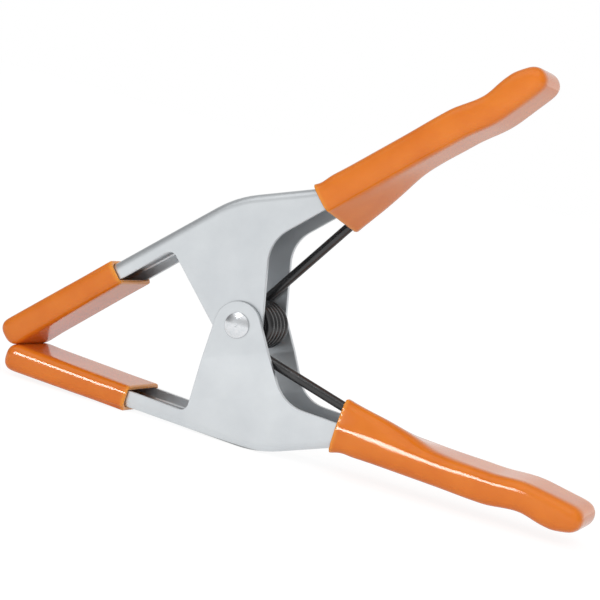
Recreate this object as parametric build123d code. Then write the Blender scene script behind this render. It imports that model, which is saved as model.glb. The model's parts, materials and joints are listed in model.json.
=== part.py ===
"""Steel spring clamp: two stamped channel levers on one rivet, a torsion spring and four vinyl sleeves."""
from build123d import *
import math
import os

# Driving dimensions, in millimetres and degrees.
# Both levers have one profile, drawn here for the upper lever with the pivot at the origin. X runs along the
# clamp from the jaws to the handles, Y runs across it, and heights run outwards from the clamp's middle line.

# Levers
lever_width = 21.4
sheet = 1.4
bend_radius = 2.2
jaw_back_slope = 22.5
jaw_nose_depth = 4.85
jaw_edge_slope = 23.3
jaw_reach = 58.1
jaw_nose_radius = 1.6
notch_radius = 2.2
ear_radius = 6.2
ear_front_slope = 114.4
ear_back_slope = 80.2
ear_clearance = 0.1
joggle_margin = 1.6
joggle_radius = 6.0
neck_radius = 10.0
bump_offset = 33.0
bump_radius = 30.0
waist_radius = 8.0
handle_slope = 22.8
handle_back_offset = 20.8
handle_depth = 5.3
handle_reach = 98.3
handle_end_radius = 2.3
crest_setback = 23.7
crest_fall = 10.0
crest_radius = 20.0
flare_setback = 3.3
flare_lift = 0.2
flare_rise = 7.5
dip_radius = 18.0
finger_fall = 5.7
finger_lift = 0.7
finger_rise = 7.0
finger_radius = 24.0

# Rivet
shank_radius = 2.1
shank_fit = 0.03
bore_clearance = 0.06
head_radius = 3.25
head_rim = 0.35
head_dome = 0.95

# Spring
wire_radius = 1.2
full_turns = 5
spring_side_play = 0.175
coil_radius = 5.1
coil_play = 0.15
leg_slope = 35.0
leg_clearance = 0.15
leg_spread = 0.1

# Vinyl sleeves
sleeve_wall = 1.1
sleeve_fit = 0.1
jaw_sleeve_length = 36.1
jaw_sleeve_edge = 2.2
jaw_sleeve_nose_radius = 2.8
nip_gap = 0.2
upper_mouth_reach = 34.1
lower_mouth_reach = 32.6
grip_edge = 2.4

# Sizes that follow from the ones above.
skin = sleeve_fit + sleeve_wall
half_width = lever_width / 2
ear_shift = sheet + ear_clearance
bore_radius = shank_radius + bore_clearance
handle_edge_offset = handle_back_offset - handle_depth
spring_shift = coil_radius - wire_radius - shank_radius - coil_play
turned = 360 * full_turns + 2 * (90 - leg_slope)
leg_side = half_width - sheet - spring_side_play - wire_radius
coil_half = leg_side - leg_spread
turn_pitch = 2 * coil_half * 360 / turned
crest_reach = handle_reach - crest_setback
flare_reach = handle_reach - flare_setback
beyond = 40.0


def normal_line(distance, facing):
    """A straight edge at a distance from the pivot, facing outwards at an angle."""
    return (distance, facing)


def grown(edge, amount):
    """The same edge moved outwards."""
    return (edge[0] + amount, edge[1])


def meet(first, second):
    """The point where two straight edges cross."""
    a = (math.cos(math.radians(first[1])), math.sin(math.radians(first[1])))
    b = (math.cos(math.radians(second[1])), math.sin(math.radians(second[1])))
    spread = a[0] * b[1] - a[1] * b[0]
    return ((first[0] * b[1] - second[0] * a[1]) / spread, (second[0] * a[0] - first[0] * b[0]) / spread)


def back_at(slope, along, out, turn):
    """An edge on the back of an arm with this slope, through a point along and out from it, turned from the slope."""
    distance = out * math.cos(math.radians(turn)) - along * math.sin(math.radians(turn))
    return normal_line(distance, 90 + slope + turn)


def inside_at(slope, along, out, turn):
    """The same edge on the arm's inner side, facing the clamp's middle line."""
    distance, facing = back_at(slope, along, out, turn)
    return normal_line(-distance, facing - 180)


def nip_offset():
    """How far the jaw's gripping edge lies from the pivot for the closed sleeves to leave the nip gap."""
    rise = math.radians(jaw_edge_slope)
    along = jaw_sleeve_nose_radius - (jaw_reach + skin)
    centre = (nip_gap / 2 + jaw_sleeve_nose_radius - along * math.sin(rise)) / math.cos(rise)
    return centre - jaw_sleeve_nose_radius + skin


jaw_turn = jaw_back_slope - jaw_edge_slope
jaw_back = back_at(jaw_edge_slope, -jaw_reach, nip_offset() + jaw_nose_depth, jaw_turn)
jaw_nose = normal_line(jaw_reach, 180 + jaw_edge_slope)
jaw_edge = normal_line(-nip_offset(), jaw_edge_slope - 90)
ear_front = normal_line(ear_radius, ear_front_slope + 90)
ear_back = normal_line(ear_radius, ear_back_slope - 90)
handle_edge = inside_at(handle_slope, 0, handle_edge_offset, 0)
finger_dip = inside_at(handle_slope, crest_reach, handle_edge_offset, -finger_fall)
finger_end = inside_at(handle_slope, flare_reach, handle_edge_offset + finger_lift, finger_rise)
handle_end = normal_line(handle_reach, handle_slope)
handle_back = normal_line(handle_back_offset, 90 + handle_slope)
flare = back_at(handle_slope, flare_reach, handle_back_offset + flare_lift, flare_rise)
fall = back_at(handle_slope, crest_reach, handle_back_offset, -crest_fall)
bump = normal_line(bump_offset, 90)


def rounding(before, corner, after, radius):
    """Start, middle, end and centre of the arc that rounds a corner."""
    here = Vector(*corner)
    back = (Vector(*before) - here).normalized()
    ahead = (Vector(*after) - here).normalized()
    half = math.acos(max(-1.0, min(1.0, back.dot(ahead)))) / 2
    reach = radius / math.tan(half)
    middle = (back + ahead).normalized()
    centre = here + middle * (radius / math.sin(half))
    return here + back * reach, centre - middle * radius, here + ahead * reach, centre


def outline(corners):
    """Closed face through corners given as ((x, y), radius), each rounded by its arc."""
    count = len(corners)
    edges = []
    arcs = []
    for index, (corner, radius) in enumerate(corners):
        before = corners[index - 1][0]
        after = corners[(index + 1) % count][0]
        arcs.append(rounding(before, corner, after, radius) if radius else (Vector(*corner),) * 4)
    for index, (start, middle, end, centre) in enumerate(arcs):
        if corners[index][1]:
            edges.append(ThreePointArc(start, middle, end))
        edges.append(Line(end, arcs[(index + 1) % count][0]))
    return make_face(Wire(edges))


def across(face, width):
    """A profile of the clamp's side view, spread evenly to both sides of its middle plane."""
    return extrude(Plane.XZ * face, amount=width / 2, both=True)


def back_corners(amount):
    """The lever's back from the bump to the flared handle end, moved outwards."""
    return [
        (meet(grown(jaw_back, amount), grown(bump, amount)), bump_radius + amount),
        (meet(grown(bump, amount), grown(handle_back, amount)), waist_radius - amount),
        (meet(grown(handle_back, amount), grown(fall, amount)), crest_radius + amount),
        (meet(grown(fall, amount), grown(flare, amount)), dip_radius - amount),
    ]


def finger_corners(amount):
    """The wave in the handle's inner edge that follows the crest and dip of its back, moved inwards."""
    return [
        (meet(grown(handle_edge, amount), grown(finger_dip, amount)), finger_radius - amount),
        (meet(grown(finger_dip, amount), grown(finger_end, amount)), finger_radius + amount),
    ]


def lever_outline():
    """Side view of one lever."""
    return outline(
        [
            (meet(jaw_nose, jaw_edge), jaw_nose_radius),
            (meet(jaw_edge, ear_front), notch_radius),
            (meet(ear_front, ear_back), ear_radius),
            (meet(ear_back, handle_edge), neck_radius),
        ]
        + finger_corners(0)
        + [
            (meet(finger_end, handle_end), handle_end_radius),
            (meet(handle_end, flare), handle_end_radius),
        ]
        + back_corners(0)[::-1]
        + [(meet(jaw_back, jaw_nose), jaw_nose_radius)]
    )


def back_block(amount, width, radius):
    """Everything under the lever's back line, with the two long back edges rounded as a bend is."""
    left = normal_line(jaw_reach + beyond, 180)
    right = normal_line(handle_reach + beyond, 0)
    under = normal_line(beyond, -90)
    face = outline(
        [(meet(left, grown(jaw_back, amount)), 0)]
        + back_corners(amount)
        + [
            (meet(grown(flare, amount), right), 0),
            (meet(right, under), 0),
            (meet(under, left), 0),
        ]
    )
    block = across(face, width)
    sides = block.faces().sort_by(Axis.Y)
    rims = [edge for side in (sides[0], sides[-1]) for edge in side.edges()]
    bends = [e for e in rims if abs((e @ 1 - e @ 0).X) > 0.1 and (e @ 0.5).Z > -beyond / 2]
    return fillet(bends, radius)


def channel():
    """The bent sheet: a web along the back and two flanges that run on past every edge."""
    outside = back_block(0, lever_width, bend_radius)
    inside = back_block(-sheet, lever_width - 2 * sheet, bend_radius - sheet)
    return outside - inside


def ear_strip(side):
    """One flange of the outer lever at its ear, eased outwards so that the inner lever's ear fits beside it."""
    top = notch_centre().Y
    bottom = ear_radius + joggle_margin
    low = -ear_radius - joggle_margin
    outer = half_width + ear_shift
    lean = math.atan2(ear_shift, top - bottom)
    start = top + 2 * joggle_radius * math.tan(lean / 2)
    face = outline(
        [
            ((side * half_width, start), 0),
            ((side * half_width, top), joggle_radius),
            ((side * outer, bottom), joggle_radius),
            ((side * outer, low), 0),
            ((side * (outer - sheet), low), 0),
            ((side * (outer - sheet), bottom), joggle_radius),
            ((side * (half_width - sheet), top), joggle_radius),
            ((side * (half_width - sheet), start), 0),
        ]
    )
    reach = beyond - notch_centre().X
    return Pos(notch_centre().X, 0, 0) * extrude(Plane.YZ * face, amount=reach), start


def notch_centre():
    """Centre of the rounding between the jaw's flange and the front of the ear."""
    ends = (meet(jaw_nose, jaw_edge), meet(jaw_edge, ear_front), meet(ear_front, ear_back))
    return rounding(*ends, notch_radius)[3]


def pierced(lever, radius):
    """A lever with the rivet's hole through both ears."""
    hole = Rot(90, 0, 0) * Cylinder(radius, 2 * lever_width)
    return lever - hole


def inner_lever():
    """The lever whose ears stay in line with its flanges."""
    return pierced(channel() & across(lever_outline(), 2 * lever_width), bore_radius)


def outer_lever():
    """The lever whose ears are set out by a sheet's thickness."""
    near, start = ear_strip(-1)
    far, start = ear_strip(1)
    room = Box(
        beyond - notch_centre().X,
        2 * lever_width,
        start + beyond,
        align=(Align.MIN, Align.CENTER, Align.MAX),
    )
    sheet_metal = channel() - Pos(notch_centre().X, 0, start) * room + near + far
    return pierced(sheet_metal & across(lever_outline(), 2 * lever_width), shank_radius + shank_fit)


def sleeve_block(corners, width, radius):
    """A block on a side-view outline with its long edges rounded, square at the first two corners."""
    block = across(outline(corners), width)
    sides = block.faces().sort_by(Axis.Y)
    rims = [edge for side in (sides[0], sides[-1]) for edge in side.edges()]
    root = Vector(*corners[0][0]) + Vector(*corners[1][0])
    middle = Vector(root.X / 2, 0, root.Y / 2)
    ends = sorted(rims, key=lambda e: (Vector((e @ 0.5).X, 0, (e @ 0.5).Z) - middle).length)[:2]
    return fillet([e for e in rims if e not in ends], radius)


def before_mouth(reach, slope):
    """The space on the pivot's side of a sleeve's mouth, to be cut away."""
    space = Box(4 * beyond, 4 * beyond, 4 * beyond, align=(Align.MAX, Align.CENTER, Align.CENTER))
    return Rot(0, -slope, 0) * (Pos(reach, 0, 0) * space)


def jaw_sleeve():
    """Closed sleeve over the jaw, open towards the pivot."""
    root = normal_line(0, jaw_edge_slope)

    def corners(amount, nose_radius):
        back = grown(jaw_back, amount)
        edge = grown(jaw_edge, amount)
        nose = grown(jaw_nose, amount)
        return [
            (meet(root, edge), 0),
            (meet(root, back), 0),
            (meet(back, nose), nose_radius),
            (meet(nose, edge), nose_radius),
        ]

    mouth = jaw_reach + skin - jaw_sleeve_length
    shell = sleeve_block(corners(skin, jaw_sleeve_nose_radius), lever_width + 2 * skin, jaw_sleeve_edge)
    hollow = across(outline(corners(sleeve_fit, jaw_nose_radius)), lever_width + 2 * sleeve_fit)
    return shell - hollow - before_mouth(mouth, 180 + jaw_edge_slope)


def leg_height(along):
    """How far the spring leg's middle lies out from the pivot, read square to the handle."""
    tilt = math.radians(leg_slope - handle_slope)
    start = spring_shift * -math.sin(math.radians(leg_slope)) + coil_radius
    return (start + along * math.sin(tilt)) / math.cos(tilt)


def ridge(along, far_end, side, grip, room):
    """The tent of the grip over the spring leg, from its mouth to where it sinks into the grip."""
    radius = wire_radius + room
    low = handle_edge_offset - grip
    deep = handle_edge_offset + handle_depth / 2
    side_face = half_width + grip
    seat = side_face - grip_edge
    foot = low + grip_edge
    turn = math.tan(math.radians(22.5)) * radius

    def section(at):
        height = leg_height(at)
        points = [
            (-seat, deep),
            (-seat, low),
            (leg_side - turn, height - radius),
            (leg_side + turn, height - radius),
            (leg_side + radius, height - turn),
            (side_face, foot),
            (side_face, deep),
        ]
        place = Plane(
            origin=(at * math.cos(math.radians(handle_slope)), 0, at * math.sin(math.radians(handle_slope))),
            x_dir=(0, 1, 0),
            z_dir=(math.cos(math.radians(handle_slope)), 0, math.sin(math.radians(handle_slope))),
        )
        return place * outline([((side * y, z), 0) for y, z in points])

    return loft([section(along), section(far_end)], ruled=True)


def handle_grip(side, mouth_reach):
    """Closed sleeve over the handle, with its mouth stretched over the spring leg on one side."""
    root = normal_line(0, handle_slope)

    def corners(amount, end_radius):
        end = grown(handle_end, amount)
        tip = [
            (meet(grown(finger_end, amount), end), end_radius),
            (meet(end, grown(flare, amount)), end_radius),
        ]
        mouth = [
            (meet(root, grown(bump, amount)), 0),
            (meet(root, grown(handle_edge, amount)), 0),
        ]
        return mouth + finger_corners(amount) + tip + back_corners(amount)[:0:-1]

    tilt = math.tan(math.radians(leg_slope - handle_slope))
    room = leg_clearance + sleeve_wall
    sunk = handle_edge_offset - skin + wire_radius + room
    ridge_end = mouth_reach + (sunk - leg_height(mouth_reach)) / tilt
    plain = sleeve_block(corners(skin, handle_end_radius + skin), lever_width + 2 * skin, grip_edge)
    tent = ridge(0, ridge_end, side, skin, room)
    hollow = across(outline(corners(sleeve_fit, handle_end_radius + sleeve_fit)), lever_width + 2 * sleeve_fit)
    under = ridge(0, ridge_end, side, sleeve_fit, leg_clearance)
    return plain + tent - hollow - under - before_mouth(mouth_reach, handle_slope)


def rivet():
    """Solid rivet with a low domed head on the outside of each outer ear."""
    seat = half_width + ear_shift
    rim = seat + head_rim
    top = rim + head_dome
    sphere = (head_radius**2 + head_dome**2) / (2 * head_dome)
    middle = math.asin(head_radius / sphere) / 2
    crown = (sphere * math.sin(middle), top - sphere * (1 - math.cos(middle)))
    half = make_face(
        Wire(
            [
                Line((0, top), (0, -top)),
                ThreePointArc((0, -top), (crown[0], -crown[1]), (head_radius, -rim)),
                *Polyline(
                    (head_radius, -rim),
                    (head_radius, -seat),
                    (shank_radius, -seat),
                    (shank_radius, seat),
                    (head_radius, seat),
                    (head_radius, rim),
                ).edges(),
                ThreePointArc((head_radius, rim), crown, (0, top)),
            ]
        )
    )
    return revolve(half, Axis.Y)


def biarc(start, start_way, end, end_way):
    """Two arcs that leave one point and reach another in the given directions."""
    gap = end - start
    sum_way = start_way + end_way
    a = 2 * (1 - start_way.dot(end_way))
    b = 2 * gap.dot(sum_way)
    c = -gap.dot(gap)
    reach = (-b + math.sqrt(b * b - 4 * a * c)) / (2 * a)
    leaving = start + start_way * reach
    coming = end - end_way * reach
    joint = (leaving + coming) * 0.5
    return [
        TangentArc(start, joint, tangent=start_way),
        TangentArc(joint, end, tangent=coming - leaving),
    ]


def leg_end_reach():
    """Along the handle, where the leg comes to bear on the inside of the web."""
    web = handle_back_offset - sheet - leg_clearance - wire_radius
    return (web - leg_height(0)) / math.tan(math.radians(leg_slope - handle_slope))


def spring_path():
    """Line through the wire: lower leg, turns round the rivet from near to far, upper leg."""
    steps = round(turned / 90)
    first = 270 - leg_slope
    slope = turn_pitch / (2 * math.pi * coil_radius)
    points = []
    ways = []
    for step in range(steps + 1):
        angle = math.radians(first - turned * step / steps)
        y = coil_half * (2 * step / steps - 1)
        if step in (0, steps):
            y = math.copysign(leg_side, y)
        points.append(Vector(spring_shift + coil_radius * math.cos(angle), y, coil_radius * math.sin(angle)))
        drift = 0 if step in (0, steps) else slope
        ways.append(Vector(math.sin(angle), drift, -math.cos(angle)).normalized())
    leg = leg_end_reach() / math.cos(math.radians(leg_slope - handle_slope))
    edges = [Line(points[0] - ways[0] * leg, points[0])]
    for step in range(steps):
        edges += biarc(points[step], ways[step], points[step + 1], ways[step + 1])
    edges.append(Line(points[-1], points[-1] + ways[-1] * leg))
    return Wire(edges)


def least_gap(path, radius):
    """Least clear distance from the wire to itself, over points along it that are not near neighbours."""
    count = 900
    apart = 4 * radius
    marks = [path @ (i / count) for i in range(count + 1)]
    step = path.length / count
    skip = math.ceil(apart / step)
    return min(
        (marks[i] - marks[j]).length for i in range(0, count, 2) for j in range(i + skip, count + 1)
    ) - 2 * radius


def spring():
    """Torsion spring as one unbroken tube."""
    path = spring_path()
    print("least gap of the spring to itself:", round(least_gap(path, wire_radius), 3), "mm")
    section = Plane(origin=path @ 0, z_dir=path % 0) * Circle(wire_radius)
    return sweep(section, path=path)


def flipped(shape):
    """The same piece on the other side of the clamp's middle line."""
    return mirror(shape, about=Plane.XY)


def stand_slope():
    """Angle at which the lower lever's bump and the lip of its jaw sleeve both lie on one level surface."""
    before = (meet(jaw_back, jaw_nose), meet(jaw_back, bump), meet(bump, handle_back))
    centre = rounding(*before, bump_radius)[3]
    mouth = normal_line(jaw_sleeve_length - jaw_reach - skin, jaw_edge_slope)
    lip = Vector(*meet(mouth, grown(jaw_back, skin)))
    gap = centre - lip
    return math.degrees(math.atan2(gap.Y, gap.X) + math.asin(bump_radius / gap.length))


shapes = {
    "lower_lever": flipped(outer_lever()),
    "upper_lever": inner_lever(),
    "pivot_rivet": rivet(),
    "torsion_spring": spring(),
    "lower_handle_grip": flipped(handle_grip(-1, lower_mouth_reach)),
    "upper_handle_grip": handle_grip(1, upper_mouth_reach),
    "lower_jaw_tip": flipped(jaw_sleeve()),
    "upper_jaw_tip": jaw_sleeve(),
}

# The clamp stands on its lower lever, with the origin under the middle of its bounding box.
tilt = stand_slope()
standing = {name: Rot(0, -tilt, 0) * shape for name, shape in shapes.items()}
box = Compound([shape.solid() for shape in standing.values()]).bounding_box()
place = Pos(-(box.min.X + box.max.X) / 2, -(box.min.Y + box.max.Y) / 2, -box.min.Z)
print("stands at", round(tilt, 3), "degrees, pivot at", tuple(round(v, 4) for v in place.position))

os.makedirs("parts", exist_ok=True)
for name, shape in standing.items():
    export_step(place * shape, f"parts/{name}.step")
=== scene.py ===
"""Looks of a steel spring clamp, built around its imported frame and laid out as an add-on."""

import json
import math

import bmesh
import bpy
from mathutils import Matrix, Vector


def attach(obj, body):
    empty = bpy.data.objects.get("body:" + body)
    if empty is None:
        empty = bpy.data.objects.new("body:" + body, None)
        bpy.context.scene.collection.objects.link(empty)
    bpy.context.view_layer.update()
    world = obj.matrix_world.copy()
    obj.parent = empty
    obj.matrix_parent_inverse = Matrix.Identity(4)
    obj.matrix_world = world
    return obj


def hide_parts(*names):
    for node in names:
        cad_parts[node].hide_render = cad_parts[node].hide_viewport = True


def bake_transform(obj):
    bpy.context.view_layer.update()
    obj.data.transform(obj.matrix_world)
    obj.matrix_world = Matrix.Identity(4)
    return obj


bl_info = {
    "name": "Spring Clamp",
    "version": (1, 0, 0),
    "blender": (4, 5, 0),
    "location": "View3D > Sidebar > Spring Clamp",
    "description": "Dresses a steel spring clamp with vinyl sleeves, a wound spring and studio light",
    "category": "Object",
}

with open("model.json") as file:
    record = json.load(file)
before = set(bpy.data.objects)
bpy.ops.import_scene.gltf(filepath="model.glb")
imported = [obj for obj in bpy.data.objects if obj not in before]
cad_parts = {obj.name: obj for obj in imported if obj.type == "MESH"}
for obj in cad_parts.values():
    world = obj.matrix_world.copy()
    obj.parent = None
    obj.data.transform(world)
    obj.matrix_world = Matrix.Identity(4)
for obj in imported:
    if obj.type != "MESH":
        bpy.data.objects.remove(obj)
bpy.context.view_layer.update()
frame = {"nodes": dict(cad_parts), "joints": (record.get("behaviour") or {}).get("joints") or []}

LOWER = "lower_half"
UPPER = "upper_half"
LEVERS = ("lower_lever", "upper_lever")
GRIPS = {"lower_handle_grip": LOWER, "upper_handle_grip": UPPER}
JAW_TIPS = {"lower_jaw_tip": LOWER, "upper_jaw_tip": UPPER}
LOWER_SLEEVES = ("lower_handle_grip", "lower_jaw_tip")
PIVOT = Vector(next(joint for joint in frame["joints"] if joint["name"] == "jaw_pivot")["pos_m"])
MM = 0.001
PHOTO_PIXELS = 600
MERGE_DISTANCE = 0.001 * MM
# Slopes of the handles and the jaws from the clamp's middle line
HANDLE_SLOPE = math.radians(22.8)
JAW_SLOPE = math.radians(23.3)
# Lip of every sleeve, and the nose of a jaw tip where it meets the other
RIM_LENGTH = 1.4 * MM
NOSE_DEPTH = 2.5 * MM
TIP_CONTACT = 0.004 * MM
# Lip of a jaw tip on the steel's bends, and the share of its length that is fully drawn in
SLEEVE_SKIN = 1.2 * MM
BEND_RADIUS = 2.2 * MM
LIP_FIT = 0.05 * MM
LIP_HELD = 0.25
# Height over a line from the pivot along the handle, which parts a grip's back from its ridge
GRIP_MIDDLE = 17 * MM
# Share of the lip's length over which the filling of a grip's back comes in
BACK_IN = 0.7
# Stretches along a handle from the pivot, over which a form of the grip comes in or goes out
TENT_IN = (38 * MM, 46 * MM)
TENT_OUT = (60 * MM, 70 * MM)
END_IN = (84 * MM, 95 * MM)
BACK_OUT = (92 * MM, 99 * MM)
BULB_IN = (83 * MM, 90 * MM)
BULB_OUT = (91 * MM, 96 * MM)
TAIL_IN = (34 * MM, 46 * MM)
TAIL_OUT = (48 * MM, 66 * MM)
# Stretch across a handle towards the side of its spring leg
LEG_SIDE = (-10 * MM, 10 * MM)
# Marks on the rivet and the wire
CENTRE_MARK = (0.25 * MM, 0.6 * MM)
CENTRE_DEPTH = -2.2
DRAWN_STRETCH = 0.04
RUBBED_GAIN = 2.0
# Lamps: metres right, up and back from the pivot as the camera sees it, then width and height
SOFTBOX = ((0.0, 0.6, 0.25), (1.0, 0.9))
KEY = ((0.16, 0.22, 0.6), (0.2, 0.2))
GLINT = ((-0.11, 0.355, 0.25), (0.12, 0.12))
SHEEN_PANEL = ((0.0, 0.5, 0.3), (0.9, 0.4))
GLEAM_STRIP = ((-0.305, 0.145, 0.5), (0.34, 0.14))
# Light of the surround on matt surfaces, and brightness of the floor in front, behind and to the eye
EVEN_LIGHT = 0.60
FLOOR_FRONT = 1.18
FLOOR_BEHIND = 0.78
FLOOR_SEEN = 1.12
FLOOR_GLOW = 0.8
FLOOR_TURN = 50 * MM


class ClampVinylSettings(bpy.types.PropertyGroup):
    """Colour and form of the dipped vinyl sleeves."""

    colour: bpy.props.FloatVectorProperty(
        name="Vinyl Colour",
        description="Colour of the vinyl in even light",
        subtype="COLOR",
        size=3,
        min=0.0,
        max=1.0,
        default=(0.80, 0.215, 0.018),
    )
    deep_colour: bpy.props.FloatVectorProperty(
        name="Deep Colour",
        description="Colour where the vinyl lies thicker",
        subtype="COLOR",
        size=3,
        min=0.0,
        max=1.0,
        default=(0.74, 0.180, 0.013),
    )
    rim_colour: bpy.props.FloatVectorProperty(
        name="Rim Colour",
        description="Colour of the thin lip at the mouth of a sleeve",
        subtype="COLOR",
        size=3,
        min=0.0,
        max=1.0,
        default=(0.86, 0.31, 0.035),
    )
    roughness: bpy.props.FloatProperty(
        name="Vinyl Roughness",
        description="Roughness of the glossy skin",
        subtype="FACTOR",
        min=0.0,
        max=1.0,
        default=0.11,
    )
    cloud: bpy.props.FloatProperty(
        name="Vinyl Cloud Size",
        description="Size of the clouds where the vinyl lies thicker",
        unit="LENGTH",
        default=9 * MM,
    )
    haze: bpy.props.FloatProperty(
        name="Haze Size",
        description="Size of the patches where the skin is duller",
        unit="LENGTH",
        default=4 * MM,
    )
    grain: bpy.props.FloatProperty(
        name="Skin Grain",
        description="Width of the faint ripples in the dipped skin",
        unit="LENGTH",
        default=7.0 * MM,
    )
    grip_cell: bpy.props.FloatProperty(
        name="Grip Cell",
        description="Spacing of the points that carry the skin of a handle grip",
        unit="LENGTH",
        default=0.34 * MM,
    )
    tip_cell: bpy.props.FloatProperty(
        name="Jaw Tip Cell",
        description="Spacing of the points that carry the skin of a jaw tip",
        unit="LENGTH",
        default=0.28 * MM,
    )
    lip_softness: bpy.props.IntProperty(
        name="Lip Softness",
        description="Rounds of smoothing over the whole sleeve, its lip included",
        default=5,
    )
    grip_softness: bpy.props.IntProperty(
        name="Grip Softness",
        description="Further rounds that relax a handle grip over its lever and spring leg",
        default=70,
    )
    tent_softness: bpy.props.IntProperty(
        name="Tent Softness",
        description="Further rounds where a grip is stretched off the spring leg and at its end",
        default=120,
    )
    tip_softness: bpy.props.IntProperty(
        name="Jaw Tip Softness",
        description="Further rounds that relax a jaw tip",
        default=70,
    )
    lip_length: bpy.props.FloatProperty(
        name="Lip Length",
        description="Length behind the mouth over which the sleeve stays firm",
        unit="LENGTH",
        default=9.0 * MM,
    )
    back_fill: bpy.props.FloatProperty(
        name="Back Fill",
        description="How far the relaxed grip is filled out again over the back of its handle",
        unit="LENGTH",
        default=0.6 * MM,
    )
    bulb_fill: bpy.props.FloatProperty(
        name="Bulb Fill",
        description="Further filling where the dipped vinyl gathers in a bulb near the end",
        unit="LENGTH",
        default=0.6 * MM,
    )
    tail_fill: bpy.props.FloatProperty(
        name="Tail Fill",
        description="How far the ridge is filled out again where it runs out into the grip",
        unit="LENGTH",
        default=0.75 * MM,
    )
    tip_press: bpy.props.FloatProperty(
        name="Jaw Tip Press",
        description="How far each closed jaw tip bulges to meet the other",
        unit="LENGTH",
        default=0.2 * MM,
    )


class ClampSteelSettings(bpy.types.PropertyGroup):
    """Finish of the plated levers and the rivet."""

    zinc: bpy.props.FloatVectorProperty(
        name="Zinc Colour",
        description="Colour of the bright zinc plating",
        subtype="COLOR",
        size=3,
        min=0.0,
        max=1.0,
        default=(0.71, 0.74, 0.76),
    )
    zinc_dull: bpy.props.FloatVectorProperty(
        name="Dull Zinc Colour",
        description="Colour of the duller clouds in the plating",
        subtype="COLOR",
        size=3,
        min=0.0,
        max=1.0,
        default=(0.65, 0.68, 0.705),
    )
    rivet: bpy.props.FloatVectorProperty(
        name="Rivet Colour",
        description="Colour of the spun rivet head",
        subtype="COLOR",
        size=3,
        min=0.0,
        max=1.0,
        default=(0.74, 0.75, 0.77),
    )
    cloud: bpy.props.FloatProperty(
        name="Cloud Size",
        description="Size of the clouds in the plating",
        unit="LENGTH",
        default=14 * MM,
    )
    fleck: bpy.props.FloatProperty(
        name="Fleck Size",
        description="Size of the bright flecks along the bends",
        unit="LENGTH",
        default=0.55 * MM,
    )
    gloss_patch: bpy.props.FloatProperty(
        name="Gloss Patch Size",
        description="Size of the patches where the plating is duller",
        unit="LENGTH",
        default=5 * MM,
    )
    ring_pitch: bpy.props.FloatProperty(
        name="Ring Pitch",
        description="Distance between the rings that the riveting tool left",
        unit="LENGTH",
        default=0.28 * MM,
    )
    wear: bpy.props.FloatProperty(
        name="Rivet Wear",
        description="Size of the worn spots on the rivet head",
        unit="LENGTH",
        default=0.9 * MM,
    )
    # Painted shade: the plating is darkened towards this near black in tight corners and in the gaps
    # between the plates
    painted_corner_shade: bpy.props.FloatVectorProperty(
        name="Painted Corner Shade",
        description="Colour of the painted shade in tight corners",
        subtype="COLOR",
        size=3,
        min=0.0,
        max=1.0,
        default=(0.09, 0.09, 0.09),
    )
    crevice: bpy.props.FloatProperty(
        name="Crevice Reach",
        description="How far the dark of a tight corner reaches",
        unit="LENGTH",
        default=0.7 * MM,
    )
    edge_round: bpy.props.FloatProperty(
        name="Edge Rounding",
        description="Rounding of the cut edges of the sheet",
        unit="LENGTH",
        default=0.25 * MM,
    )


class ClampSpringSettings(bpy.types.PropertyGroup):
    """Sizes and finish of the torsion spring."""

    wire_radius: bpy.props.FloatProperty(
        name="Wire Radius",
        description="Radius of the spring wire",
        unit="LENGTH",
        default=1.3 * MM,
    )
    coil_radius: bpy.props.FloatProperty(
        name="Coil Radius",
        description="Radius of the turns at the middle of the wire",
        unit="LENGTH",
        default=5.1 * MM,
    )
    coil_half: bpy.props.FloatProperty(
        name="Coil Half Width",
        description="Half the distance between the two legs across the clamp",
        unit="LENGTH",
        default=7.9 * MM,
    )
    coil_offset: bpy.props.FloatProperty(
        name="Coil Offset",
        description="How far the turns sit behind the rivet",
        unit="LENGTH",
        default=1.65 * MM,
    )
    full_turns: bpy.props.IntProperty(
        name="Full Turns",
        description="Whole turns round the rivet",
        default=5,
    )
    leg_slope: bpy.props.FloatProperty(
        name="Leg Slope",
        description="Angle of each leg from the clamp's middle line",
        subtype="ANGLE",
        default=math.radians(35),
    )
    leg_length: bpy.props.FloatProperty(
        name="Leg Length",
        description="Length of each straight leg",
        unit="LENGTH",
        default=60 * MM,
    )
    drawing: bpy.props.FloatProperty(
        name="Drawing Lines",
        description="Width of the lines along the drawn wire",
        unit="LENGTH",
        default=0.3 * MM,
    )
    rubbing: bpy.props.FloatProperty(
        name="Rubbing Size",
        description="Size of the patches where the wire is rubbed brighter",
        unit="LENGTH",
        default=5 * MM,
    )
    colour: bpy.props.FloatVectorProperty(
        name="Wire Colour",
        description="Colour of the black oxide finish",
        subtype="COLOR",
        size=3,
        min=0.0,
        max=1.0,
        default=(0.020, 0.020, 0.021),
    )


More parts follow.
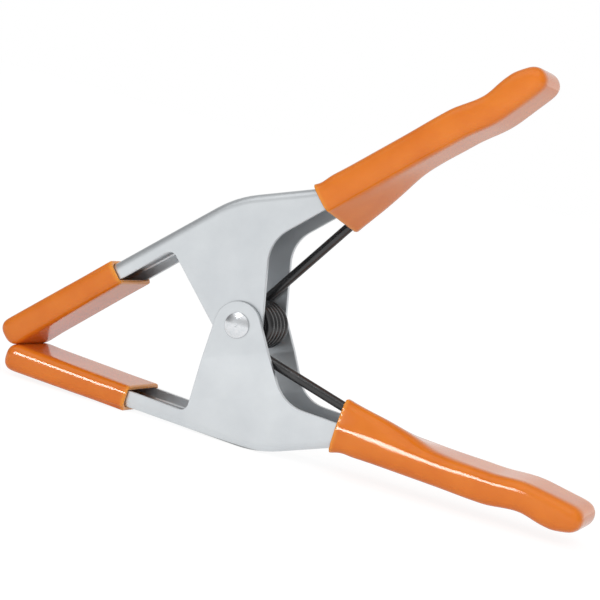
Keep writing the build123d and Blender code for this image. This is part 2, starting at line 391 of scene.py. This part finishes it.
class ClampStageSettings(bpy.types.PropertyGroup):
    """Camera, floor and lamps."""

    standing: bpy.props.FloatProperty(
        name="Standing Angle",
        description="Angle of the clamp's middle line as it stands on its lower lever",
        subtype="ANGLE",
        default=math.radians(20.367),
    )
    yaw: bpy.props.FloatProperty(
        name="Camera Yaw",
        description="How far the camera stands round towards the handles",
        subtype="ANGLE",
        default=math.radians(16.8),
    )
    picture_slope: bpy.props.FloatProperty(
        name="Picture Slope",
        description="Slope of the clamp's middle line in the picture",
        subtype="ANGLE",
        default=math.radians(4.75),
    )
    distance: bpy.props.FloatProperty(
        name="Camera Distance",
        description="Distance from the camera to the pivot",
        unit="LENGTH",
        default=600 * MM,
    )
    lens: bpy.props.FloatProperty(
        name="Lens",
        description="Focal length in millimetres on a sensor 36 mm wide",
        default=138.0,
    )
    pivot_right: bpy.props.FloatProperty(
        name="Pivot Across",
        description="Pixel across the picture where the pivot appears",
        default=251.7,
    )
    pivot_down: bpy.props.FloatProperty(
        name="Pivot Down",
        description="Pixel down the picture where the pivot appears",
        default=324.9,
    )
    floor_reach: bpy.props.FloatProperty(
        name="Floor Reach",
        description="Half the width of the floor",
        unit="LENGTH",
        default=6.0,
    )
    softbox_power: bpy.props.FloatProperty(
        name="Softbox Power",
        description="Power of the wide softbox above the clamp",
        unit="POWER",
        default=0.7,
    )
    key_power: bpy.props.FloatProperty(
        name="Key Power",
        description="Power of the lamp in front on the handles' side, which no surface mirrors",
        unit="POWER",
        default=1.3,
    )
    glint_power: bpy.props.FloatProperty(
        name="Glint Power",
        description="Power of the small lamp that only shows as a glint on the rivet and the spring",
        unit="POWER",
        default=0.5,
    )
    sheen_power: bpy.props.FloatProperty(
        name="Sheen Power",
        description="Power of the panel overhead that only shows as a sheen on the bends",
        unit="POWER",
        default=0.5,
    )
    strip_power: bpy.props.FloatProperty(
        name="Strip Power",
        description="Power of the strip in front that only shows as a gleam along glossy edges",
        unit="POWER",
        default=3.4,
    )


def node_maker(tree):
    """A function that adds a node to a tree and fills its input sockets by name or place."""

    def add(kind, inputs=None, **settings):
        node = tree.nodes.new(kind)
        for key, value in settings.items():
            setattr(node, key, value)
        for key, value in (inputs or {}).items():
            if isinstance(value, bpy.types.NodeSocket):
                tree.links.new(value, node.inputs[key])
            else:
                node.inputs[key].default_value = value
        return node

    return add


def new_material(name):
    """An empty node material with its principled shader wired to the output."""
    material = bpy.data.materials.new(name)
    material.use_nodes = True
    tree = material.node_tree
    tree.nodes.clear()
    add = node_maker(tree)
    shader = add("ShaderNodeBsdfPrincipled")
    add("ShaderNodeOutputMaterial", {"Surface": shader.outputs["BSDF"]})
    return material, tree, add, shader


def noise(add, coordinates, size, detail=3.0, roughness=0.5):
    """Noise whose features are about as wide as the given size in metres."""
    node = add(
        "ShaderNodeTexNoise",
        {"Vector": coordinates, "Scale": 1 / size, "Detail": detail, "Roughness": roughness},
    )
    return node.outputs["Fac"]


def spread(add, value, low, high, to_low, to_high):
    """A value stretched from one range to another and held inside it."""
    node = add(
        "ShaderNodeMapRange",
        {"Value": value, "From Min": low, "From Max": high, "To Min": to_low, "To Max": to_high},
    )
    return node.outputs["Result"]


def mixed(add, share, first, second):
    """A colour between two others, each a plain colour or a socket."""
    ends = [end if isinstance(end, bpy.types.NodeSocket) else (*end, 1.0) for end in (first, second)]
    # Inputs 6 and 7 of a mix node are its two colours, and output 2 is the mixed one
    return add("ShaderNodeMix", {"Factor": share, 6: ends[0], 7: ends[1]}, data_type="RGBA").outputs[2]


def calculated(add, operation, first, second=0.0):
    """One step of arithmetic."""
    return add("ShaderNodeMath", {0: first, 1: second}, operation=operation).outputs[0]


def vinyl_material(settings):
    """Glossy dipped vinyl with faint clouds of thickness and a slightly rippled skin."""
    material, tree, add, shader = new_material("orange_vinyl")
    place = add("ShaderNodeTexCoord").outputs["Object"]
    clouds = noise(add, place, settings.cloud, detail=2.0)
    body = mixed(add, spread(add, clouds, 0.35, 0.7, 0.0, 1.0), settings.colour, settings.deep_colour)
    rim = add("ShaderNodeAttribute", attribute_name="sleeve_rim").outputs["Fac"]
    tree.links.new(mixed(add, rim, body, settings.rim_colour), shader.inputs["Base Color"])
    haze = noise(add, place, settings.haze, detail=2.0)
    gloss = spread(add, haze, 0.3, 0.75, settings.roughness - 0.02, settings.roughness + 0.03)
    tree.links.new(gloss, shader.inputs["Roughness"])
    ripple = noise(add, place, settings.grain, detail=0.5)
    skin = add("ShaderNodeBump", {"Height": ripple, "Strength": 0.02, "Distance": 0.2 * MM})
    tree.links.new(skin.outputs["Normal"], shader.inputs["Normal"])
    shader.inputs["IOR"].default_value = 1.42
    shader.inputs["Subsurface Weight"].default_value = 0.08
    shader.inputs["Subsurface Radius"].default_value = (1.0, 0.35, 0.1)
    shader.inputs["Subsurface Scale"].default_value = 0.6 * MM
    return material


def zinc_material(settings):
    """Bright zinc plating: clouds on the flats, painted shade in tight corners, flecks along the bends
    and lightly broken cut edges.
    """
    material, tree, add, shader = new_material("zinc_plated_steel")
    place = add("ShaderNodeTexCoord").outputs["Object"]
    clouds = noise(add, place, settings.cloud, detail=4.0, roughness=0.6)
    tint = mixed(add, spread(add, clouds, 0.35, 0.68, 0.0, 1.0), settings.zinc, settings.zinc_dull)
    # Painted shade: ambient occlusion within the crevice reach darkens the plating in tight corners and
    # along the gaps between the plates
    open_sky = add("ShaderNodeAmbientOcclusion", {"Distance": settings.crevice}, samples=6)
    painted_corner_shade = spread(add, open_sky.outputs["AO"], 0.3, 0.8, 0.8, 0.0)
    tree.links.new(mixed(add, painted_corner_shade, tint, settings.painted_corner_shade), shader.inputs["Base Color"])
    shader.inputs["Metallic"].default_value = 0.9
    fine = noise(add, place, settings.gloss_patch, detail=3.0, roughness=0.5)
    gloss = spread(add, fine, 0.3, 0.7, 0.30, 0.38)
    tree.links.new(gloss, shader.inputs["Roughness"])
    # On a bend the surface faces partly to the side
    normal = add("ShaderNodeNewGeometry").outputs["Normal"]
    sideways = add("ShaderNodeSeparateXYZ", {"Vector": normal}).outputs["Y"]
    turn = calculated(add, "ABSOLUTE", sideways)
    rising = spread(add, turn, 0.1, 0.45, 0.0, 1.0)
    falling = spread(add, turn, 0.9, 0.995, 1.0, 0.0)
    bend = calculated(add, "MULTIPLY", rising, falling)
    flecks = noise(add, place, settings.fleck, detail=3.0, roughness=0.6)
    rough_skin = calculated(add, "MULTIPLY", flecks, spread(add, bend, 0.0, 1.0, 0.008, 1.0))
    edge = add("ShaderNodeBevel", {"Radius": settings.edge_round}, samples=4)
    skin = add(
        "ShaderNodeBump",
        {
            "Height": rough_skin,
            "Strength": 0.3,
            "Distance": 0.12 * MM,
            "Normal": edge.outputs["Normal"],
        },
    )
    tree.links.new(skin.outputs["Normal"], shader.inputs["Normal"])
    return material


def rivet_material(settings):
    """Spun rivet head: rings left by the riveting tool and a faint mark at its middle."""
    material, tree, add, shader = new_material("bright_rivet")
    place = add("ShaderNodeTexCoord").outputs["Object"]
    centred = add("ShaderNodeMapping", {"Vector": place, "Location": -PIVOT}).outputs["Vector"]
    axes = add("ShaderNodeSeparateXYZ", {"Vector": centred}).outputs
    flat = add("ShaderNodeCombineXYZ", {"X": axes["X"], "Z": axes["Z"]}).outputs["Vector"]
    radius = add("ShaderNodeVectorMath", {0: flat}, operation="LENGTH").outputs["Value"]
    waves = calculated(add, "MULTIPLY", radius, 2 * math.pi / settings.ring_pitch)
    rings = calculated(add, "SINE", waves)
    worn = noise(add, place, settings.wear, detail=4.0, roughness=0.65)
    spun = calculated(add, "MULTIPLY", rings, spread(add, worn, 0.35, 0.65, 0.1, 0.6))
    mark = spread(add, radius, *CENTRE_MARK, CENTRE_DEPTH, 0.0)
    height = calculated(add, "ADD", calculated(add, "ADD", spun, mark), worn)
    skin = add("ShaderNodeBump", {"Height": height, "Strength": 0.3, "Distance": 0.03 * MM})
    tree.links.new(skin.outputs["Normal"], shader.inputs["Normal"])
    tint = mixed(add, spread(add, worn, 0.35, 0.7, 0.0, 1.0), settings.rivet, settings.zinc_dull)
    tree.links.new(tint, shader.inputs["Base Color"])
    tree.links.new(spread(add, worn, 0.3, 0.7, 0.16, 0.25), shader.inputs["Roughness"])
    shader.inputs["Metallic"].default_value = 1.0
    return material


def wire_material(settings):
    """Black oxide on drawn wire, with fine drawing lines and patches rubbed a little brighter."""
    material, tree, add, shader = new_material("black_spring_wire")
    place = add("ShaderNodeTexCoord").outputs["Object"]
    run = add("ShaderNodeAttribute", attribute_name="wire_run").outputs["Fac"]
    along = calculated(add, "MULTIPLY", run, DRAWN_STRETCH)
    axes = add("ShaderNodeSeparateXYZ", {"Vector": place}).outputs
    drawn = add("ShaderNodeCombineXYZ", {"X": axes["Y"], "Y": along, "Z": axes["Z"]}).outputs["Vector"]
    lines = noise(add, drawn, settings.drawing, detail=2.0)
    patches = noise(add, place, settings.rubbing, detail=3.0)
    rubbed = tuple(RUBBED_GAIN * part for part in settings.colour)
    tint = mixed(add, spread(add, patches, 0.4, 0.75, 0.0, 0.8), settings.colour, rubbed)
    tree.links.new(tint, shader.inputs["Base Color"])
    shader.inputs["Metallic"].default_value = 0.35
    shader.inputs["IOR"].default_value = 1.75
    tree.links.new(spread(add, patches, 0.3, 0.7, 0.2, 0.3), shader.inputs["Roughness"])
    skin = add("ShaderNodeBump", {"Height": lines, "Strength": 0.12, "Distance": 0.05 * MM})
    tree.links.new(skin.outputs["Normal"], shader.inputs["Normal"])
    return material


def linked_object(name, mesh):
    """A new object at the origin with this mesh."""
    piece = bpy.data.objects.new(name, mesh)
    bpy.context.scene.collection.objects.link(piece)
    return piece


def plain_mesh(piece, name):
    """The piece's finished mesh with its modifiers applied."""
    evaluated = piece.evaluated_get(bpy.context.evaluated_depsgraph_get())
    mesh = bpy.data.meshes.new_from_object(evaluated)
    mesh.name = name
    return mesh


def merged_copy(node):
    """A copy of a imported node's mesh with its loose triangles joined."""
    mesh = frame["nodes"][node].data.copy()
    work = bmesh.new()
    work.from_mesh(mesh)
    bmesh.ops.remove_doubles(work, verts=work.verts, dist=MERGE_DISTANCE)
    work.to_mesh(mesh)
    work.free()
    return mesh


def eased(value, start, end):
    """Zero before start, one after end and a smooth rise between them."""
    share = min(1.0, max(0.0, (value - start) / (end - start)))
    return share * share * (3 - 2 * share)


def arm_axes(body, slope, standing):
    """From the frame to an arm's own axes: X along the arm from the pivot, Z square to it."""
    side = 1 if body == UPPER else -1
    return Matrix.Rotation(standing + side * slope, 4, "Y") @ Matrix.Translation(-PIVOT)


def relaxed(mesh, name, rounds, weights=None):
    """A smoothed copy of a mesh. Weights say how much of the smoothing each point takes."""
    draft = linked_object(name + "_draft", mesh)
    smooth = draft.modifiers.new("Relax", "SMOOTH")
    smooth.factor = 0.5
    smooth.iterations = rounds
    if weights:
        group = draft.vertex_groups.new(name="relaxed")
        for index, weight in enumerate(weights):
            if weight > 0:
                group.add([index], weight, "REPLACE")
        smooth.vertex_group = group.name
    result = plain_mesh(draft, name)
    bpy.data.objects.remove(draft)
    return result


def skin_mesh(node, cell, axes):
    """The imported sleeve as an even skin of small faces, in an arm's own axes."""
    mesh = merged_copy(node)
    mesh.transform(axes)
    draft = linked_object(node + "_draft", mesh)
    remesh = draft.modifiers.new("Skin", "REMESH")
    remesh.mode = "VOXEL"
    remesh.voxel_size = cell
    skin = plain_mesh(draft, node + "_skin")
    bpy.data.objects.remove(draft)
    return skin


def fitted_sleeve(mesh, node, body, behind, material):
    """Puts a finished skin in place of its sleeve. Behind is each point's depth behind the mouth."""
    rim = mesh.attributes.new("sleeve_rim", "FLOAT", "POINT")
    rim.data.foreach_set("value", [1 - eased(depth, 0.0, RIM_LENGTH) for depth in behind])
    mesh.shade_smooth()
    mesh.materials.clear()
    mesh.materials.append(material)
    sleeve = linked_object(node + "_skin", mesh)
    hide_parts(node)
    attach(sleeve, body)


def fill_out(mesh, body, behind, settings):
    """Fills out a relaxed grip at its back, at the bulb near its end and at the tail of its ridge."""
    side = 1 if body == UPPER else -1
    facing = [side * normal.vector.z for normal in mesh.vertex_normals]
    for point, outward, depth in zip(mesh.vertices, facing, behind):
        reach = point.co.x
        if side * point.co.z > GRIP_MIDDLE:
            back = eased(depth, 0.0, settings.lip_length * BACK_IN) * (1 - eased(reach, *BACK_OUT))
            bulb = eased(reach, *BULB_IN) * (1 - eased(reach, *BULB_OUT))
            fill = max(0.0, outward) * (settings.back_fill * back + settings.bulb_fill * bulb)
        else:
            tail = eased(reach, *TAIL_IN) * (1 - eased(reach, *TAIL_OUT))
            over_leg = eased(side * point.co.y, *LEG_SIDE)
            fill = min(0.0, outward) * settings.tail_fill * tail * over_leg
        point.co.z += side * fill


def handle_grip(node, body, settings, standing, material):
    """Fits a grip that slackens where it comes off the spring leg and rounds over the handle's end."""
    axes = arm_axes(body, HANDLE_SLOPE, standing)
    mesh = relaxed(skin_mesh(node, settings.grip_cell, axes), node + "_skin", settings.lip_softness)
    along = [point.co.x for point in mesh.vertices]
    mouth = min(along)
    behind = [reach - mouth for reach in along]
    firm = [eased(depth, 0.0, settings.lip_length) for depth in behind]
    mesh = relaxed(mesh, node + "_skin", settings.grip_softness, firm)
    slack = []
    for reach in along:
        tent = eased(reach, *TENT_IN) * (1 - eased(reach, *TENT_OUT))
        slack.append(max(tent, eased(reach, *END_IN)))
    mesh = relaxed(mesh, node + "_skin", settings.tent_softness, slack)
    fill_out(mesh, body, behind, settings)
    mesh.transform(axes.inverted())
    fitted_sleeve(mesh, node, body, behind, material)


def hug_bends(mesh, body, behind, settings):
    """Draws the lip of a jaw tip in against the rounded bends of the steel."""
    side = 1 if body == UPPER else -1
    lip_heights = [
        side * point.co.z
        for point, depth in zip(mesh.vertices, behind)
        if depth < settings.lip_length
    ]
    middle_y = max(point.co.y for point in mesh.vertices) - SLEEVE_SKIN - BEND_RADIUS
    middle_z = max(lip_heights) - SLEEVE_SKIN - BEND_RADIUS
    steel = BEND_RADIUS + LIP_FIT
    for point, depth in zip(mesh.vertices, behind):
        out_y = abs(point.co.y) - middle_y
        out_z = side * point.co.z - middle_z
        if min(out_y, out_z) <= 0:
            continue
        away = math.hypot(out_y, out_z)
        square = steel * away / max(out_y, out_z)
        outer = square + SLEEVE_SKIN
        share = min(1.0, max(0.0, (outer - away) / (outer - square)))
        hold = 1 - eased(depth, settings.lip_length * LIP_HELD, settings.lip_length)
        pull = (square - steel) * share * hold
        point.co.y -= math.copysign(pull * out_y / away, point.co.y)
        point.co.z -= side * pull * out_z / away


def jaw_tip(node, body, settings, standing, material):
    """Fits a jaw tip whose soft nose presses flat against the other one."""
    axes = arm_axes(body, JAW_SLOPE, standing)
    mesh = relaxed(skin_mesh(node, settings.tip_cell, axes), node + "_skin", settings.lip_softness)
    along = [point.co.x for point in mesh.vertices]
    mouth = max(along)
    behind = [mouth - reach for reach in along]
    firm = [eased(depth, 0.0, settings.lip_length) for depth in behind]
    mesh = relaxed(mesh, node + "_skin", settings.tip_softness, firm)
    hug_bends(mesh, body, behind, settings)
    middle = Matrix.Rotation(standing, 4, "Y") @ Matrix.Translation(-PIVOT)
    mesh.transform(middle @ axes.inverted())
    for point in mesh.vertices:
        off = abs(point.co.z)
        pressed = off - settings.tip_press * (1 - eased(off, 0.0, NOSE_DEPTH))
        point.co.z = math.copysign(max(pressed, TIP_CONTACT), point.co.z)
    mesh.transform(middle.inverted())
    fitted_sleeve(mesh, node, body, behind, material)


def tree_input(tree, name, kind, value=None):
    """Adds a named input to a geometry tree."""
    socket = tree.interface.new_socket(name, in_out="INPUT", socket_type=kind)
    if value is not None:
        socket.default_value = value


def spring_tree():
    """Geometry tree of a torsion spring: one wire along a leg, round the turns and out again."""
    tree = bpy.data.node_groups.new("torsion_spring", "GeometryNodeTree")
    sizes = ("Wire Radius", "Coil Radius", "Coil Half Width", "Coil Offset", "Leg Length")
    angles = ("Turned Angle", "Leg Slope", "Standing Angle")
    for name in sizes + angles:
        tree_input(tree, name, "NodeSocketFloat")
    tree_input(tree, "Pivot", "NodeSocketVector")
    tree_input(tree, "Wire Points", "NodeSocketInt", 760)
    tree_input(tree, "Wire Sides", "NodeSocketInt", 24)
    tree_input(tree, "Material", "NodeSocketMaterial")
    tree.interface.new_socket("Geometry", in_out="OUTPUT", socket_type="NodeSocketGeometry")
    add = node_maker(tree)
    given = add("NodeGroupInput").outputs

    # How far along the wire each point lies, as a part on the turns and a straight part on a leg
    line = add("GeometryNodeCurvePrimitiveLine")
    points = add(
        "GeometryNodeResampleCurve",
        {"Curve": line.outputs["Curve"], "Count": given["Wire Points"]},
    )
    share = add("GeometryNodeSplineParameter").outputs["Factor"]
    coil = calculated(add, "MULTIPLY", given["Coil Radius"], given["Turned Angle"])
    legs = calculated(add, "MULTIPLY", given["Leg Length"], 2.0)
    run = calculated(add, "MULTIPLY", share, calculated(add, "ADD", coil, legs))
    past_leg = calculated(add, "SUBTRACT", run, given["Leg Length"])
    wound = calculated(add, "DIVIDE", past_leg, coil)
    turned_share = add("ShaderNodeClamp", {"Value": wound}).outputs[0]
    straight = calculated(add, "SUBTRACT", past_leg, calculated(add, "MULTIPLY", turned_share, coil))
    # Place of each point: on the turns' circle, then straight on along its tangent
    first = calculated(add, "SUBTRACT", 1.5 * math.pi, given["Leg Slope"])
    back = calculated(add, "MULTIPLY", turned_share, given["Turned Angle"])
    angle = calculated(add, "SUBTRACT", first, back)
    cosine = calculated(add, "COSINE", angle)
    sine = calculated(add, "SINE", angle)
    round_x = calculated(add, "MULTIPLY", given["Coil Radius"], cosine)
    round_z = calculated(add, "MULTIPLY", given["Coil Radius"], sine)
    leg_x = calculated(add, "MULTIPLY", straight, sine)
    leg_z = calculated(add, "MULTIPLY", straight, cosine)
    x = calculated(add, "ADD", calculated(add, "ADD", round_x, leg_x), given["Coil Offset"])
    z = calculated(add, "SUBTRACT", round_z, leg_z)
    side = calculated(add, "SUBTRACT", calculated(add, "MULTIPLY", turned_share, 2.0), 1.0)
    y = calculated(add, "MULTIPLY", side, given["Coil Half Width"])
    position = add("ShaderNodeCombineXYZ", {"X": x, "Y": y, "Z": z}).outputs["Vector"]
    wire = add("GeometryNodeSetPosition", {"Geometry": points.outputs["Curve"], "Position": position})
    marked = add(
        "GeometryNodeStoreNamedAttribute",
        {"Geometry": wire.outputs["Geometry"], "Name": "wire_run", "Value": run},
        data_type="FLOAT",
        domain="POINT",
    )
    # The round wire on that path, stood on the pivot
    section = add(
        "GeometryNodeCurvePrimitiveCircle",
        {"Resolution": given["Wire Sides"], "Radius": given["Wire Radius"]},
    )
    tube = add(
        "GeometryNodeCurveToMesh",
        {
            "Curve": marked.outputs["Geometry"],
            "Profile Curve": section.outputs["Curve"],
            "Fill Caps": True,
        },
    )
    lean = calculated(add, "MULTIPLY", given["Standing Angle"], -1.0)
    turn = add("ShaderNodeCombineXYZ", {"Y": lean}).outputs["Vector"]
    stood = add(
        "GeometryNodeTransform",
        {"Geometry": tube.outputs["Mesh"], "Translation": given["Pivot"], "Rotation": turn},
    )
    smooth = add("GeometryNodeSetShadeSmooth", {"Geometry": stood.outputs["Geometry"]})
    real = add("GeometryNodeRealizeInstances", {"Geometry": smooth.outputs["Geometry"]})
    dressed = add(
        "GeometryNodeSetMaterial",
        {"Geometry": real.outputs["Geometry"], "Material": given["Material"]},
    )
    add("NodeGroupOutput", {"Geometry": dressed.outputs["Geometry"]})
    return tree


def set_inputs(modifier, values):
    """Sets a tree's inputs on its modifier, found by the names of their sockets."""
    for item in modifier.node_group.interface.items_tree:
        if item.in_out == "INPUT" and item.name in values:
            modifier[item.identifier] = values[item.name]


class CLAMP_OT_plate_levers(bpy.types.Operator):
    """Give both levers their bright zinc plating"""

    bl_idname = "clamp.plate_levers"
    bl_label = "Plate Levers"

    def execute(self, context):
        material = zinc_material(context.scene.clamp_steel)
        for name in LEVERS:
            lever = frame["nodes"][name]
            lever.data.materials.clear()
            lever.data.materials.append(material)
        return {"FINISHED"}


class CLAMP_OT_spin_rivet(bpy.types.Operator):
    """Give the pivot rivet its spun heads"""

    bl_idname = "clamp.spin_rivet"
    bl_label = "Spin Rivet"

    def execute(self, context):
        rivet = frame["nodes"]["pivot_rivet"]
        rivet.data.materials.clear()
        rivet.data.materials.append(rivet_material(context.scene.clamp_steel))
        return {"FINISHED"}


class CLAMP_OT_wind_spring(bpy.types.Operator):
    """Wind the torsion spring round the rivet and lead a leg into each handle"""

    bl_idname = "clamp.wind_spring"
    bl_label = "Wind Spring"

    def execute(self, context):
        settings = context.scene.clamp_spring
        stage = context.scene.clamp_stage
        draft = linked_object("spring_draft", bpy.data.meshes.new("spring_draft"))
        winding = draft.modifiers.new("Winding", "NODES")
        winding.node_group = spring_tree()
        turned = 2 * math.pi * settings.full_turns + math.pi - 2 * settings.leg_slope
        set_inputs(
            winding,
            {
                "Wire Radius": settings.wire_radius,
                "Coil Radius": settings.coil_radius,
                "Coil Half Width": settings.coil_half,
                "Coil Offset": settings.coil_offset,
                "Leg Length": settings.leg_length,
                "Turned Angle": turned,
                "Leg Slope": settings.leg_slope,
                "Standing Angle": stage.standing,
                "Pivot": PIVOT,
                "Material": wire_material(settings),
            },
        )
        mesh = plain_mesh(draft, "spring_wire")
        bpy.data.objects.remove(draft)
        spring = linked_object("spring_wire", mesh)
        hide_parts("torsion_spring")
        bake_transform(spring)
        return {"FINISHED"}


class CLAMP_OT_dip_sleeves(bpy.types.Operator):
    """Stretch the vinyl sleeves over the handles and the jaws"""

    bl_idname = "clamp.dip_sleeves"
    bl_label = "Dip Sleeves"

    def execute(self, context):
        settings = context.scene.clamp_vinyl
        material = vinyl_material(settings)
        standing = context.scene.clamp_stage.standing
        for node, body in GRIPS.items():
            handle_grip(node, body, settings, standing, material)
        for node, body in JAW_TIPS.items():
            jaw_tip(node, body, settings, standing, material)
        return {"FINISHED"}


def seen_rays(add):
    """One for rays that the camera, a shiny surface or a clear one sends out, zero for the rest."""
    rays = add("ShaderNodeLightPath").outputs
    shiny = calculated(add, "MAXIMUM", rays["Is Glossy Ray"], rays["Is Transmission Ray"])
    return calculated(add, "MAXIMUM", rays["Is Camera Ray"], shiny)


def white_world():
    """A white surround for the eye and for reflections, with a plain even light for the rest."""
    world = bpy.data.worlds.new("white_surround")
    bpy.context.scene.world = world
    world.use_nodes = True
    tree = world.node_tree
    tree.nodes.clear()
    add = node_maker(tree)
    # As shiny surfaces see it, the surround is darker overhead, above the horizon and to both sides
    way = add("ShaderNodeTexCoord").outputs["Generated"]
    axes = add("ShaderNodeSeparateXYZ", {"Vector": way}).outputs
    sky = spread(add, axes["Z"], 0.45, 0.85, 1.0, 0.5)
    haze = spread(add, axes["Z"], 0.0, 0.25, 1.0, 0.7)
    side = spread(add, calculated(add, "ABSOLUTE", axes["X"]), 0.55, 0.95, 1.0, 0.35)
    shown = calculated(add, "MULTIPLY", calculated(add, "MULTIPLY", sky, haze), side)
    lit = spread(add, seen_rays(add), 0.0, 1.0, EVEN_LIGHT, shown)
    strength = calculated(add, "MAXIMUM", lit, add("ShaderNodeLightPath").outputs["Is Camera Ray"])
    light = add("ShaderNodeBackground", {"Color": (1.0, 1.0, 1.0, 1.0), "Strength": strength})
    add("ShaderNodeOutputWorld", {"Surface": light.outputs["Background"]})


def white_floor(reach):
    """A pale floor that keeps the clamp's shadow and fades into the white surround."""
    mesh = bpy.data.meshes.new("floor")
    corners = [(-reach, -reach, 0), (reach, -reach, 0), (reach, reach, 0), (-reach, reach, 0)]
    mesh.from_pydata(corners, [], [(0, 1, 2, 3)])
    floor = linked_object("floor", mesh)
    material = bpy.data.materials.new("pale_floor")
    material.use_nodes = True
    tree = material.node_tree
    tree.nodes.clear()
    add = node_maker(tree)
    matt = add("ShaderNodeBsdfDiffuse", {"Color": (0.9, 0.9, 0.9, 1.0)})
    place = add("ShaderNodeTexCoord").outputs["Object"]
    depth = add("ShaderNodeSeparateXYZ", {"Vector": place}).outputs["Y"]
    shown = spread(add, depth, -FLOOR_TURN, FLOOR_TURN, FLOOR_FRONT, FLOOR_BEHIND)
    camera_ray = add("ShaderNodeLightPath").outputs["Is Camera Ray"]
    bright = calculated(add, "MULTIPLY", camera_ray, FLOOR_SEEN)
    strength = calculated(add, "MAXIMUM", shown, bright)
    glow = add("ShaderNodeEmission", {"Color": (1.0, 1.0, 1.0, 1.0), "Strength": strength})
    share = calculated(add, "MULTIPLY", seen_rays(add), FLOOR_GLOW)
    both = add(
        "ShaderNodeMixShader",
        {"Fac": share, 1: matt.outputs["BSDF"], 2: glow.outputs["Emission"]},
    )
    add("ShaderNodeOutputMaterial", {"Surface": both.outputs["Shader"]})
    mesh.materials.append(material)


def photo_camera(settings):
    """The camera at the photograph's viewing angle. Returns its axes, which are right, up and back."""
    roll = Matrix.Rotation(settings.picture_slope - settings.standing, 4, "Y")
    yaw = Matrix.Rotation(settings.yaw, 4, "Z")
    level = Matrix.Rotation(math.pi / 2, 4, "X")
    axes = (roll @ yaw @ level).to_3x3()
    data = bpy.data.cameras.new("camera")
    data.lens = settings.lens
    data.clip_start = 10 * MM
    pixel = settings.distance * data.sensor_width / data.lens / PHOTO_PIXELS
    across = (settings.pivot_right - PHOTO_PIXELS / 2) * pixel
    down = (settings.pivot_down - PHOTO_PIXELS / 2) * pixel
    camera = bpy.data.objects.new("camera", data)
    bpy.context.scene.collection.objects.link(camera)
    place = PIVOT + axes @ Vector((-across, down, settings.distance))
    camera.matrix_world = Matrix.Translation(place) @ axes.to_4x4()
    bpy.context.scene.camera = camera
    return axes


def area_lamp(name, axes, spot, power):
    """A soft rectangular lamp facing the pivot. Spot is its place in the camera's axes and its size."""
    place, size = spot
    data = bpy.data.lights.new(name, "AREA")
    data.shape = "RECTANGLE"
    data.size, data.size_y = size
    data.energy = power
    lamp = bpy.data.objects.new(name, data)
    bpy.context.scene.collection.objects.link(lamp)
    away = axes @ Vector(place)
    lamp.location = PIVOT + away
    lamp.rotation_euler = (-away).to_track_quat("-Z", "Y").to_euler()
    return lamp


def shine_on(lamp, pieces):
    """Keeps a lamp's light to these pieces."""
    lit = bpy.data.collections.new(lamp.name + "_pieces")
    for piece in pieces:
        lit.objects.link(piece)
    lamp.light_linking.receiver_collection = lit


def studio_lamps(axes, settings):
    """A softbox, a key lamp that no surface mirrors and three lamps that only show as reflections."""
    area_lamp("softbox", axes, SOFTBOX, settings.softbox_power)
    key = area_lamp("key", axes, KEY, settings.key_power)
    key.visible_glossy = False
    glint = area_lamp("glint", axes, GLINT, settings.glint_power)
    shine_on(glint, [frame["nodes"]["pivot_rivet"], bpy.data.objects["spring_wire"]])
    sheen = area_lamp("sheen_panel", axes, SHEEN_PANEL, settings.sheen_power)
    gleam = area_lamp("gleam_strip", axes, GLEAM_STRIP, settings.strip_power)
    shine_on(gleam, [bpy.data.objects[node + "_skin"] for node in LOWER_SLEEVES])
    for lamp in (glint, sheen, gleam):
        lamp.visible_diffuse = False


class CLAMP_OT_set_stage(bpy.types.Operator):
    """Set the camera, the white floor and the lamps"""

    bl_idname = "clamp.set_stage"
    bl_label = "Set Stage"

    def execute(self, context):
        settings = context.scene.clamp_stage
        context.scene.view_settings.view_transform = "Standard"
        axes = photo_camera(settings)
        white_world()
        white_floor(settings.floor_reach)
        studio_lamps(axes, settings)
        return {"FINISHED"}


class CLAMP_PT_sidebar(bpy.types.Panel):
    """Lists the steps that dress the clamp"""

    bl_idname = "CLAMP_PT_sidebar"
    bl_label = "Spring Clamp"
    bl_space_type = "VIEW_3D"
    bl_region_type = "UI"
    bl_category = "Spring Clamp"

    def draw(self, context):
        for step in STEPS:
            self.layout.operator(step.bl_idname)
        for name in SETTINGS:
            box = self.layout.box()
            group = getattr(context.scene, name)
            for key in group.__annotations__:
                box.prop(group, key)


SETTINGS = {
    "clamp_vinyl": ClampVinylSettings,
    "clamp_steel": ClampSteelSettings,
    "clamp_spring": ClampSpringSettings,
    "clamp_stage": ClampStageSettings,
}
STEPS = (
    CLAMP_OT_plate_levers,
    CLAMP_OT_spin_rivet,
    CLAMP_OT_wind_spring,
    CLAMP_OT_dip_sleeves,
    CLAMP_OT_set_stage,
)


def register():
    """Registers the settings, steps and panel."""
    for name, group in SETTINGS.items():
        bpy.utils.register_class(group)
        setattr(bpy.types.Scene, name, bpy.props.PointerProperty(type=group))
    for step in STEPS:
        bpy.utils.register_class(step)
    bpy.utils.register_class(CLAMP_PT_sidebar)


def unregister():
    """Removes the settings, steps and panel."""
    bpy.utils.unregister_class(CLAMP_PT_sidebar)
    for step in reversed(STEPS):
        bpy.utils.unregister_class(step)
    for name, group in SETTINGS.items():
        delattr(bpy.types.Scene, name)
        bpy.utils.unregister_class(group)


def main():
    """Dresses the clamp step by step."""
    register()
    bpy.ops.clamp.plate_levers()
    bpy.ops.clamp.spin_rivet()
    bpy.ops.clamp.wind_spring()
    bpy.ops.clamp.dip_sleeves()
    bpy.ops.clamp.set_stage()


if __name__ == "__main__":
    main()
